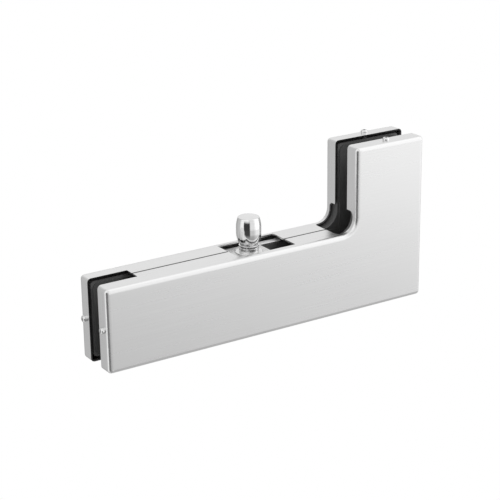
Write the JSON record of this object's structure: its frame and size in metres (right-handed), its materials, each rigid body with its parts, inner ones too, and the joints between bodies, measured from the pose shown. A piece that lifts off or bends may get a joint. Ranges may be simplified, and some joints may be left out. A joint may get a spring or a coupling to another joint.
{
  "type": "glass door hinge",
  "caption": "L-shaped corner patch fitting for frameless glass, with a sliding pivot pin that carries the top of a glass door.",
  "frame": {"origin": "the pivot point: on the pivot pin's axis, at the middle of its cylindrical bearing land, 11 mm above the long leg's door-side face", "axes": "+Z along the pivot pin towards its free end, +X along the long leg towards the short leg, +Y through the fitting towards the rear cover"},
  "size_m": [0.225, 0.032, 0.106],
  "materials": {
    "satin_stainless": "satin, fine grain along the long leg",
    "polished_steel": "polished",
    "machined_steel": "milled and plated",
    "black_clamp": "black, with the seat round the opening milled bare",
    "gasket_rubber": "matte black pad",
    "plated_steel": "zinc plated",
    "sleeve_plastic": "natural nylon"
  },
  "bodies": {
    "patch": {"front_cover": "satin_stainless", "rear_cover": "satin_stainless", "front_clamp": "black_clamp", "rear_clamp": "black_clamp", "front_long_gasket": "gasket_rubber", "front_short_gasket": "gasket_rubber", "rear_long_gasket": "gasket_rubber", "rear_short_gasket": "gasket_rubber", "clamp_screw_end": "plated_steel", "clamp_screw_middle": "plated_steel", "clamp_screw_inner": "plated_steel", "clamp_screw_corner": "plated_steel", "clamp_screw_top": "plated_steel", "spacer_sleeve_end": "sleeve_plastic", "spacer_sleeve_middle": "sleeve_plastic", "spacer_sleeve_inner": "sleeve_plastic", "spacer_sleeve_corner": "sleeve_plastic", "spacer_sleeve_top": "sleeve_plastic", "cover_screw_front_end": "polished_steel", "cover_screw_front_top": "polished_steel", "cover_screw_rear_end": "polished_steel", "cover_screw_rear_top": "polished_steel"},
    "carrier": {"pin_carrier": "machined_steel", "pivot_pin": "polished_steel", "carrier_screw_left": "plated_steel", "carrier_screw_right": "plated_steel", "carrier_nut_left": "plated_steel", "carrier_nut_right": "plated_steel"}
  },
  "joints": [
    {"name": "pin_slide", "type": "slide", "parent": "patch", "child": "carrier", "axis": [1, 0, 0], "range_m": [-0.002, 0.013]}
  ]
}
